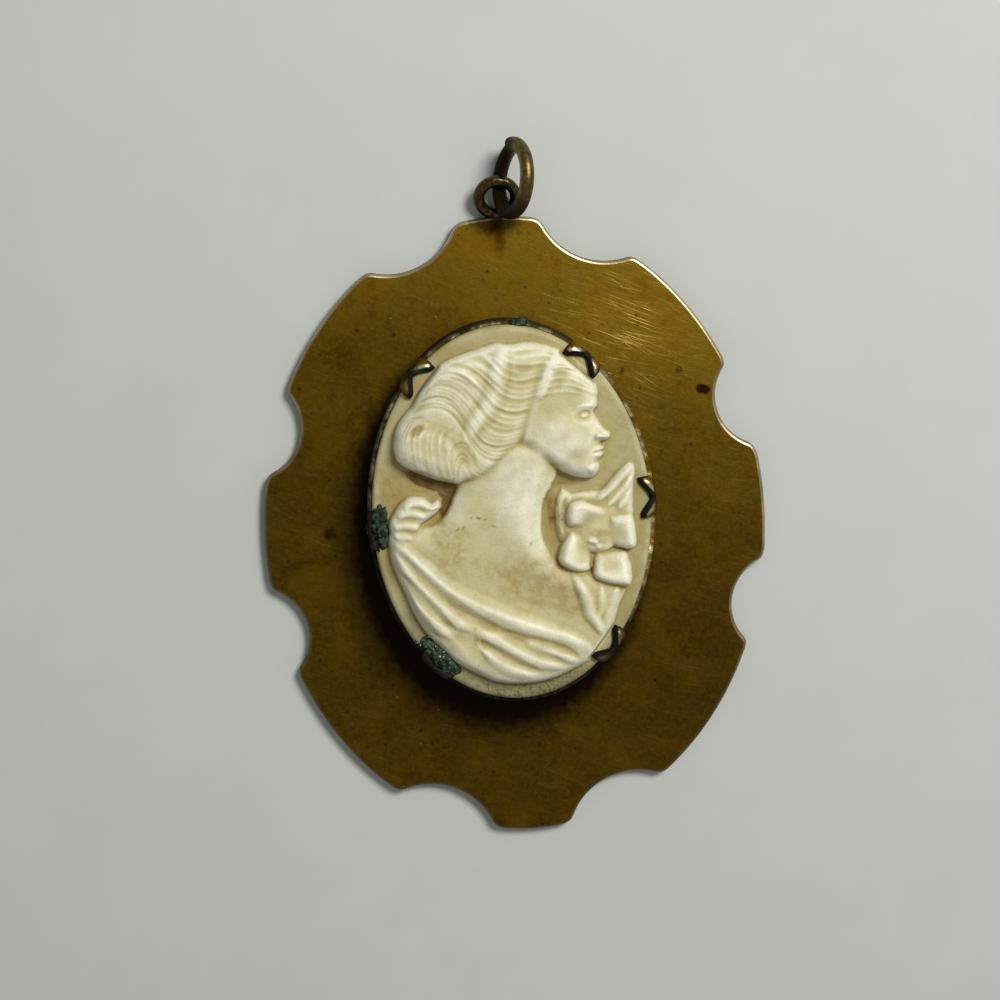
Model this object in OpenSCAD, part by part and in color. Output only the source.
// Cameo pendant: a carved oval bust in a low brass cup with six forked claws, on a lobed brass back
// plate with a soldered loop and an open jump ring. It lies on its back, in millimetres: the front
// faces +Z, the loop is at +Y, and the origin is the middle of the back face.

/* [Back plate] */
// Width of the back plate across its side lobes
plate_w = 38; // [34:0.5:44]
// Height of the back plate between its end lobes
plate_h = 47.2; // [43:0.2:54]
// Thickness of the back plate
plate_t = 1; // [0.7:0.1:1.4]
// Chamfer round the plate's edges
plate_chamfer = 0.15; // [0.05:0.05:0.25]
// Radius of the four notches at the sides
side_notch_r = 3.9; // [3.2:0.05:4.1]
// Direction of the upper side notches, measured up from the X axis
upper_notch_dir = 25; // [23.5:0.5:26]
// Direction of the lower side notches, measured down from the X axis
lower_notch_dir = 19.5; // [19:0.5:24]
// How far outside the oval a side notch has its centre
side_notch_out = 1.9; // [1.8:0.1:2.5]
// Radius of the four notches at the ends
end_notch_r = 5.3; // [4.4:0.1:5.5]
// Direction of an end notch, measured from the X axis
end_notch_dir = 72; // [70:0.2:73]
// How far outside the oval an end notch has its centre
end_notch_out = 3.05; // [2.8:0.05:3.8]

/* [Loop and jump ring] */
// Wire of the soldered loop
loop_wire = 0.85; // [0.6:0.05:1]
// Radius of the loop along the middle of its wire
loop_r = 1.36; // [1.3:0.01:1.6]
// Sideways place of the loop on the plate
loop_x = 0.1; // [-1:0.1:1]
// How far outside the plate's end the loop's wire has its root
loop_out = 0.2; // [0.1:0.05:0.25]
// Wire of the open jump ring
ring_wire = 1.05; // [0.7:0.05:1.1]
// Radius of the jump ring along the middle of its wire
ring_r = 2.58; // [2.5:0.02:3.2]
// Slope of the jump ring, which leans on its lower side
ring_slope = 65; // [60:1:68]
// Turn of the jump ring about the Z axis
ring_turn = -10; // [-14:1:-6]
// Angle at the jump ring's root by which each end is bent out of line
ring_bend = 3; // [1:0.5:4]
// Gap between the jump ring's two ends
ring_gap = 0.12; // [0.05:0.01:0.4]

/* [Cameo] */
// Width of the carved oval
cameo_w = 20.8; // [18:0.2:24]
// Height of the carved oval
cameo_h = 28.2; // [25:0.2:32]
// Height of the oval's rim over its back
cameo_rim_h = 2.5; // [1.8:0.1:3.2]
// Rise of the plain field from the rim to the middle
field_rise = 0.3; // [0:0.05:0.4]
// Rounding of the oval's front edge
rim_round = 0.35; // [0.1:0.05:0.5]
// Height of the hair over the field
relief_h = 2; // [1.2:0.1:2.6]

/* [Setting] */
// How far to the right of the plate's middle the setting is placed
setting_x = -0.3; // [-0.5:0.05:0.5]
// How far above the plate's middle the setting is placed
setting_y = 1.7; // [0.5:0.1:2.6]
// Sheet thickness of the cup's wall and claws
wall_t = 0.3; // [0.2:0.02:0.4]
// Sheet thickness of the cup's floor
floor_t = 0.4; // [0.3:0.05:0.6]
// Height of the cup's wall over the plate
wall_h = 2.2; // [1.4:0.1:2.3]
// Width of a claw across its two points
claw_w = 2.9; // [2.2:0.1:3.4]
// How far a claw's points reach in over the oval
claw_reach = 1; // [0.7:0.05:1.2]
// How deep the fork is cut back from the points
claw_fork = 0.9; // [0.6:0.05:1]
// How far a claw's leg stands out from the wall's inner face
claw_stand = 0.1; // [0.06:0.02:0.16]
// Inner radius of a claw's bend
claw_bend_r = 0.3; // [0.2:0.02:0.4]
// Radius of the rivet's shank
rivet_r = 0.8; // [0.5:0.05:1.2]
// How far the rivet's flush heads spread past its shank
rivet_spread = 0.25; // [0.15:0.05:0.3]

/* [Clearances] */
// Gap left between two pieces that rest on one another
seat_gap = 0.02; // [0.01:0.01:0.04]
// Gap between the oval and the cup's wall
side_gap = 0.05; // [0.03:0.01:0.1]
// Gap between the oval's rim and the claws
claw_gap = 0.1; // [0.08:0.01:0.15]
// Gap round the rivet
rivet_gap = 0.03; // [0.02:0.01:0.05]
// Room between the loop and the jump ring's low side
link_gap = 0.2; // [0.15:0.05:0.4]
// Height of the jump ring's low side above the surface
ring_lift = 0.03; // [0.01:0.01:0.1]

/* [Hidden] */
$fn = 128;
wire_fn = 40;
// How far a cut runs past the faces that it cuts
over = 0.5;

brass = "#6b5413";
dark_brass = "#43330d";
ring_metal = "#6a5f3b";
ivory = "#cdc59a";

// Heights of the stacked pieces
floor_z = plate_t + seat_gap;
cameo_z = floor_z + floor_t + seat_gap;
rim_z = cameo_z + cameo_rim_h;

// Half sizes of the ovals
plate_half = [plate_w / 2, plate_h / 2];
cameo_half = [cameo_w / 2, cameo_h / 2];
setting_place = [setting_x, setting_y, 0];
cup_inner = cameo_half + [side_gap, side_gap];
cup_outer = cup_inner + [wall_t, wall_t];

// The loop leans up from the plate's edge, so that the jump ring's low side fits under its top
loop_root = [loop_x, plate_half.y + loop_out, plate_t / 2];
loop_top_z = ring_lift + ring_wire + link_gap + loop_wire / 2;
loop_lean = asin((loop_top_z - loop_root.z) / (2 * loop_r));
loop_top_y = loop_root.y + 2 * loop_r * cos(loop_lean);

// The jump ring's low side passes a little right of the loop's middle and beyond its top
low_side_x = loop_x + 0.1 * loop_r;
ring_centre = [
  low_side_x + ring_r * cos(ring_slope) * cos(ring_turn),
  loop_top_y + 0.12 * loop_r,
  ring_lift + ring_wire / 2 + ring_r * (sin(ring_slope) - sin(ring_bend) * cos(ring_slope))
];

// Directions of the claws, which sit a little unevenly round the oval
CLAW_DIRS = [4, 62, 121.5, 183, 240, 303.5];

// The figure's outlines, as shares of the oval's half width and half height
BUST = [
  [-0.36, 0.25], [-0.39, 0.12], [-0.44, 0.02], [-0.54, -0.07], [-0.86, -0.08], [-0.885, -0.2],
  [-0.85, -0.31], [-0.8, -0.42], [-0.75, -0.52], [-0.68, -0.61], [-0.59, -0.7], [-0.48, -0.785],
  [-0.34, -0.86], [-0.18, -0.91], [0, -0.935], [0.17, -0.925], [0.34, -0.88], [0.48, -0.825],
  [0.59, -0.745], [0.67, -0.64], [0.72, -0.52], [0.76, -0.43], [0.6, -0.38], [0.4, -0.35],
  [0.29, -0.29], [0.21, -0.22], [0.175, -0.12], [0.19, -0.02], [0.24, 0.06], [0.3, 0.13], [0.3, 0.3]
];
HEAD = [
  [0.56, 0.66], [0.61, 0.6], [0.625, 0.54], [0.62, 0.505], [0.59, 0.475], [0.62, 0.435],
  [0.665, 0.385], [0.705, 0.345], [0.685, 0.325], [0.63, 0.32], [0.63, 0.295], [0.65, 0.28],
  [0.625, 0.265], [0.64, 0.25], [0.615, 0.23], [0.6, 0.215], [0.61, 0.185], [0.58, 0.15],
  [0.5, 0.14], [0.38, 0.165], [0.27, 0.215], [0.2, 0.28], [0.1, 0.4], [0.1, 0.6]
];
HAIR = [
  [-0.38, 0.145], [-0.22, 0.165], [-0.09, 0.225], [0.03, 0.305], [0.12, 0.37], [0.17, 0.44],
  [0.18, 0.52], [0.22, 0.565], [0.34, 0.59], [0.47, 0.61], [0.57, 0.64], [0.575, 0.68],
  [0.53, 0.725], [0.46, 0.76], [0.385, 0.8], [0.28, 0.84], [0.15, 0.86], [0.04, 0.85],
  [-0.06, 0.86], [-0.16, 0.845], [-0.3, 0.815], [-0.41, 0.785], [-0.5, 0.74], [-0.575, 0.68],
  [-0.62, 0.61], [-0.66, 0.56], [-0.72, 0.515], [-0.775, 0.465], [-0.805, 0.4], [-0.81, 0.335],
  [-0.785, 0.27], [-0.69, 0.215], [-0.54, 0.17]
];
ROLL = [
  [-0.38, 0.145], [-0.28, 0.18], [-0.25, 0.27], [-0.29, 0.36], [-0.38, 0.45], [-0.5, 0.51],
  [-0.64, 0.52], [-0.74, 0.48], [-0.79, 0.4], [-0.8, 0.33], [-0.77, 0.265], [-0.66, 0.21], [-0.52, 0.165]
];
GATHER = [
  [-0.87, -0.11], [-0.86, 0], [-0.79, 0.05], [-0.7, 0.08], [-0.6, 0.075], [-0.53, 0.04],
  [-0.57, -0.02], [-0.63, -0.08], [-0.7, -0.13], [-0.8, -0.15]
];
PETAL_TOP = [
  [0.385, -0.12], [0.39, -0.02], [0.44, 0.02], [0.55, 0.01], [0.64, -0.04], [0.65, -0.09],
  [0.6, -0.15], [0.53, -0.17]
];
PETAL_RIGHT = [
  [0.67, -0.08], [0.76, -0.07], [0.84, -0.11], [0.845, -0.25], [0.72, -0.245], [0.65, -0.2], [0.64, -0.14]
];
PETAL_LEFT = [
  [0.39, -0.15], [0.52, -0.19], [0.535, -0.25], [0.525, -0.355], [0.4, -0.36], [0.32, -0.31],
  [0.305, -0.25], [0.34, -0.19]
];
PETAL_LOW = [
  [0.55, -0.25], [0.67, -0.25], [0.78, -0.27], [0.81, -0.36], [0.785, -0.44], [0.67, -0.44], [0.55, -0.395]
];

// The figure's masses. Columns: height as a share of relief_h, width of the rounded edge as a share
// of the oval's half width, outline
MASSES = [
  [0.5, 0.26, BUST], [0.74, 0.13, HEAD], [0.9, 0.12, HAIR], [1, 0.2, ROLL], [0.62, 0.06, GATHER],
  [0.85, 0.07, PETAL_TOP], [0.8, 0.06, PETAL_RIGHT], [0.9, 0.07, PETAL_LEFT], [0.82, 0.06, PETAL_LOW]
];

// Folds, locks, stems and leaves. Columns: rise as a share of relief_h, half width as a share of the
// oval's half width, line through its middle
RIDGES = [
  [0.16, 0.07, [[-0.04, 0.83], [-0.07, 0.69], [-0.13, 0.56], [-0.27, 0.46], [-0.32, 0.36]]],
  [0.14, 0.06, [[0.37, 0.78], [0.29, 0.73], [0.23, 0.64]]],
  [0.1, 0.06, [[-0.5, 0.72], [-0.39, 0.755], [-0.27, 0.73], [-0.2, 0.62], [-0.1, 0.47], [0.05, 0.43]]],
  [0.1, 0.05, [[-0.64, 0.53], [-0.5, 0.55], [-0.38, 0.51], [-0.29, 0.4], [-0.19, 0.29], [-0.05, 0.31]]],
  [0.1, 0.05, [[-0.42, 0.22], [-0.41, 0.32], [-0.35, 0.36], [-0.28, 0.3], [-0.25, 0.22]]],
  [-0.12, 0.08, [[-0.64, 0.46], [-0.58, 0.44]]],
  [0.24, 0.06, [
    [-0.81, -0.17], [-0.67, -0.285], [-0.42, -0.435], [-0.1, -0.575], [0.19, -0.67], [0.39, -0.72]
  ]],
  [0.2, 0.055, [[-0.86, -0.21], [-0.78, -0.32], [-0.62, -0.465], [-0.47, -0.56], [-0.33, -0.6]]],
  [0.2, 0.055, [[-0.35, -0.6], [-0.17, -0.685], [0.02, -0.765], [0.23, -0.84]]],
  [0.16, 0.05, [[-0.17, -0.635], [0.04, -0.705], [0.23, -0.785], [0.38, -0.825]]],
  [0.16, 0.05, [[-0.875, -0.245], [-0.835, -0.355], [-0.72, -0.49], [-0.59, -0.6], [-0.5, -0.67]]],
  [0.16, 0.05, [[-0.33, -0.685], [-0.17, -0.785], [-0.02, -0.86], [0.16, -0.905]]],
  [0.1, 0.035, [[-0.78, 0.035], [-0.67, 0.07], [-0.58, 0.04]]],
  [0.1, 0.035, [[-0.85, 0], [-0.74, 0.015], [-0.62, -0.02]]],
  [0.1, 0.035, [[-0.86, -0.055], [-0.75, -0.045], [-0.65, -0.08]]],
  [0.1, 0.035, [[-0.87, -0.11], [-0.76, -0.1], [-0.69, -0.135]]],
  [0.45, 0.06, [[0.6, 0], [0.73, 0.09], [0.855, 0.18]]],
  [0.35, 0.05, [[0.65, -0.03], [0.76, 0.04], [0.855, 0.09]]],
  [0.3, 0.045, [[0.33, 0.05], [0.3, -0.06], [0.34, -0.165]]],
  [0.3, 0.06, [[0.4, -0.39], [0.44, -0.47], [0.49, -0.61]]],
  [0.25, 0.05, [[0.68, -0.47], [0.66, -0.57], [0.6, -0.68]]],
  [0.3, 0.045, [[0.55, -0.2], [0.58, -0.22]]],
  [0.06, 0.06, [[0.42, 0.3], [0.46, 0.38]]],
  [-0.07, 0.04, [[0.5, 0.465], [0.54, 0.475]]]
];

// Cells along each side of the relief's grid, and the largest length of a cell
relief_cells = 62;
relief_cell = cameo_h / relief_cells;

module oval_block(half, height) {
  scale([half.x, half.y, 1]) cylinder(r = 1, h = height);
}

// Oval sheet whose two rims are chamfered: the rims' cones run on past the sheet's flat faces
module chamfered_oval(half, height, chamfer) {
  past = chamfer + over;
  small_r = half.x - past;
  intersection() {
    scale([1, half.y / half.x, 1]) {
      translate([0, 0, -over]) cylinder(r1 = small_r, r2 = half.x, h = past);
      translate([0, 0, chamfer]) cylinder(r = half.x, h = height - 2 * chamfer);
      translate([0, 0, height - chamfer]) cylinder(r1 = half.x, r2 = small_r, h = past);
    }
    translate([-half.x - over, -half.y - over, 0]) cube([2 * (half.x + over), 2 * (half.y + over), height]);
  }
}

// Distance from an oval's middle to its edge in a direction
function oval_reach(half, dir) = 1 / norm([cos(dir) / half.x, sin(dir) / half.y]);

// Direction square to an oval's edge, at the point that lies in a direction from its middle
function oval_facing(half, dir) = atan2(sin(dir) / pow(half.y, 2), cos(dir) / pow(half.x, 2));

// Notch that is cut through the plate, with a chamfer on both faces
module notch(dir, out, r) {
  rotate(dir) translate([oval_reach(plate_half, dir) + out, 0, 0]) {
    translate([0, 0, -over]) cylinder(r = r, h = plate_t + 2 * over);
    translate([0, 0, -plate_chamfer]) cylinder(r1 = r + 2 * plate_chamfer, r2 = r, h = 2 * plate_chamfer);
    translate([0, 0, plate_t - plate_chamfer])
      cylinder(r1 = r, r2 = r + 2 * plate_chamfer, h = 2 * plate_chamfer);
  }
}

module wire_ring(r, wire, angle = 360) {
  rotate_extrude(angle = angle) translate([r, 0]) circle(d = wire, $fn = wire_fn);
}

// Loop that leans up from the plate's edge, with the solder at its root
module soldered_loop() {
  translate(loop_root) {
    rotate([loop_lean, 0, 0]) translate([0, loop_r, 0]) wire_ring(loop_r, loop_wire);
    scale([1.1, 0.5, 0.5]) sphere(r = loop_wire, $fn = wire_fn);
  }
}

// Straight hole with a countersink at each mouth, or the rivet that fills it
module rivet_form(spread_out, bottom_z, top_z) {
  translate(setting_place + [0, 0, bottom_z]) {
    cylinder(r = rivet_r + spread_out, h = top_z - bottom_z);
    cylinder(r1 = rivet_r + spread_out + rivet_spread, r2 = rivet_r + spread_out, h = rivet_spread);
    translate([0, 0, top_z - bottom_z - rivet_spread])
      cylinder(r1 = rivet_r + spread_out, r2 = rivet_r + spread_out + rivet_spread, h = rivet_spread);
  }
}

module back_plate() {
  color(brass) difference() {
    union() {
      chamfered_oval(plate_half, plate_t, plate_chamfer);
      soldered_loop();
    }
    for (side = [-1, 1]) {
      notch(90 + side * (90 - upper_notch_dir), side_notch_out, side_notch_r);
      notch(270 + side * (90 - lower_notch_dir), side_notch_out, side_notch_r);
      for (end = [0, 180]) notch(end + side * end_notch_dir, end_notch_out, end_notch_r);
    }
    rivet_form(rivet_gap, 0, floor_z + floor_t);
  }
}

// Side view of a claw, from the cup's inner face: a leg, a round bend and a flat tongue
module claw_profile() {
  leg_z = floor_z + wall_h / 2;
  bend_z = rim_z + claw_gap - claw_bend_r;
  bend_x = claw_stand - claw_bend_r;
  tip_x = -side_gap - claw_reach;
  translate([claw_stand, leg_z]) square([wall_t, bend_z - leg_z]);
  translate([bend_x, bend_z]) intersection() {
    difference() {
      circle(r = claw_bend_r + wall_t);
      circle(r = claw_bend_r);
    }
    square(claw_bend_r + wall_t);
  }
  translate([tip_x, rim_z + claw_gap]) square([bend_x - tip_x, wall_t]);
}

// Plan of a claw: its two points spread like a fish's tail
module claw_plan() {
  tip_x = -side_gap - claw_reach;
  root_x = claw_stand + wall_t;
  polygon([
    [root_x, -0.4 * claw_w], [root_x, 0.4 * claw_w], [0, 0.4 * claw_w], [tip_x, 0.5 * claw_w],
    [tip_x + claw_fork, 0], [tip_x, -0.5 * claw_w], [0, -0.4 * claw_w]
  ]);
}

module claw(dir) {
  rotate(dir) translate([oval_reach(cup_inner, dir), 0, 0]) rotate(oval_facing(cup_inner, dir) - dir)
    intersection() {
      translate([0, claw_w / 2, 0]) rotate([90, 0, 0]) linear_extrude(claw_w) claw_profile();
      linear_extrude(rim_z + claw_gap + wall_t + over) claw_plan();
    }
}

module setting() {
  color(dark_brass) {
    difference() {
      translate(setting_place + [0, 0, floor_z]) difference() {
        oval_block(cup_outer, wall_h);
        translate([0, 0, floor_t]) oval_block(cup_inner, wall_h);
      }
      rivet_form(rivet_gap, 0, floor_z + floor_t);
    }
    translate(setting_place) for (dir = CLAW_DIRS) claw(dir);
  }
}

module rivet() {
  color(brass) rivet_form(0, 0, floor_z + floor_t);
}

// Distance from a point to a line of points
function segment_gap(p, a, b) =
  let (along = b - a, t = max(0, min(1, (p - a) * along / (along * along))))
  norm(p - a - t * along);
function line_gap(p, line) = min([for (i = [1 : len(line) - 1]) segment_gap(p, line[i - 1], line[i])]);

// Whether an outline holds a point, by counting the sides that a ray from it crosses
function crosses(p, a, b) =
  (a.y > p.y) != (b.y > p.y) && p.x < a.x + (b.x - a.x) * (p.y - a.y) / (b.y - a.y);
function holds(line, p) =
  len([for (i = [1 : len(line) - 1]) if (crosses(p, line[i - 1], line[i])) i]) % 2 == 1;

// Points of a table, from shares to millimetres
function sized(line) = [for (p = line) [p.x * cameo_half.x, p.y * cameo_half.y]];
function closed(line) = concat(line, [line[0]]);

// Rise of a rounded edge, from 0 at the outline to 1 at the edge's full width
function edge_rise(share) = sqrt(1 - pow(1 - min(1, share), 2));
function bump(share) = share < 1 ? pow(1 - share * share, 2) : 0;

function mass_rise(p, mass) =
  holds(mass[2], p) ? mass[0] * edge_rise(line_gap(p, mass[2]) / mass[1]) : 0;
function ridge_rise(p, ridge) = ridge[0] * bump(line_gap(p, ridge[2]) / ridge[1]);
function total(values) = [for (v = values) 1] * values;

// How far a point lies clear of every claw
function claw_clear(p) = min([
  for (dir = CLAW_DIRS)
    let (
      root = oval_reach(cup_inner, dir) * [cos(dir), sin(dir)],
      facing = oval_facing(cup_inner, dir),
      out = [cos(facing), sin(facing)],
      inward = (root - p) * out,
      across = abs((p - root) * [-out.y, out.x])
    )
    max(inward - side_gap - claw_reach, across - claw_w / 2)
]);

// Height of the carving at a point of the oval
function relief_z(p, masses, ridges) =
  let (
    radius = norm([p.x / cameo_half.x, p.y / cameo_half.y]),
    past_round = max(0, (radius - 1) * cameo_half.x + rim_round) / rim_round,
    rounding = rim_round * (1 - sqrt(max(0, 1 - past_round * past_round))),
    field = field_rise * (1 - min(1, radius * radius)) - rounding,
    masses_rise = max([for (mass = masses) mass_rise(p, mass)]),
    figure = masses_rise + total([for (ridge = ridges) ridge_rise(p, ridge)]),
    room = max(0, claw_clear(p) - relief_cell)
  )
  rim_z + field + min(relief_h * figure, 2 * room);

// Point of the oval for a point of the square grid from -1 to 1
function grid_to_oval(u, v) =
  [cameo_half.x * u * sqrt(1 - v * v / 2), cameo_half.y * v * sqrt(1 - u * u / 2)];

module cameo() {
  n = relief_cells;
  masses = [for (m = MASSES) [m[0], m[1] * cameo_half.x, closed(sized(m[2]))]];
  ridges = [for (r = RIDGES) [r[0], r[1] * cameo_half.x, sized(r[2])]];
  front = [
    for (i = [0 : n], j = [0 : n])
      let (p = grid_to_oval(2 * i / n - 1, 2 * j / n - 1))
      [p.x, p.y, relief_z(p, masses, ridges)]
  ];
  // Numbers of the points round the grid's edge, anticlockwise from above
  edge = concat(
    [for (i = [0 : n - 1]) i * (n + 1)],
    [for (j = [0 : n - 1]) n * (n + 1) + j],
    [for (i = [0 : n - 1]) (n - i) * (n + 1) + n],
    [for (j = [0 : n - 1]) n - j]
  );
  back = [for (k = edge) [front[k].x, front[k].y, cameo_z]];
  first_back = len(front);
  count = len(edge);
  front_faces = [
    for (i = [0 : n - 1], j = [0 : n - 1])
      let (k = i * (n + 1) + j)
      each [[k, k + 1, k + n + 2], [k, k + n + 2, k + n + 1]]
  ];
  side_faces = [
    for (k = [0 : count - 1])
      let (next = (k + 1) % count)
      each [[edge[k], edge[next], first_back + next], [edge[k], first_back + next, first_back + k]]
  ];
  back_face = [for (k = [0 : count - 1]) first_back + k];
  color(ivory) translate(setting_place)
    polyhedron(points = concat(front, back), faces = concat(front_faces, side_faces, [back_face]));
}

// Half of the jump ring, from its root at the near side to one end at the far side
module ring_half(side) {
  end_angle = ring_gap / 2 / ring_r * 180 / PI;
  rotate([-side * ring_bend, 0, 0]) translate([0, ring_r, 0]) mirror([side > 0 ? 0 : 1, 0, 0])
    rotate(-90) wire_ring(ring_r, ring_wire, 180 - end_angle);
}

module jump_ring() {
  color(ring_metal) translate(ring_centre) rotate([0, -ring_slope, ring_turn]) translate([0, -ring_r, 0]) {
    for (side = [-1, 1]) ring_half(side);
    sphere(d = ring_wire, $fn = wire_fn);
  }
}

back_plate();
setting();
rivet();
cameo();
jump_ring();
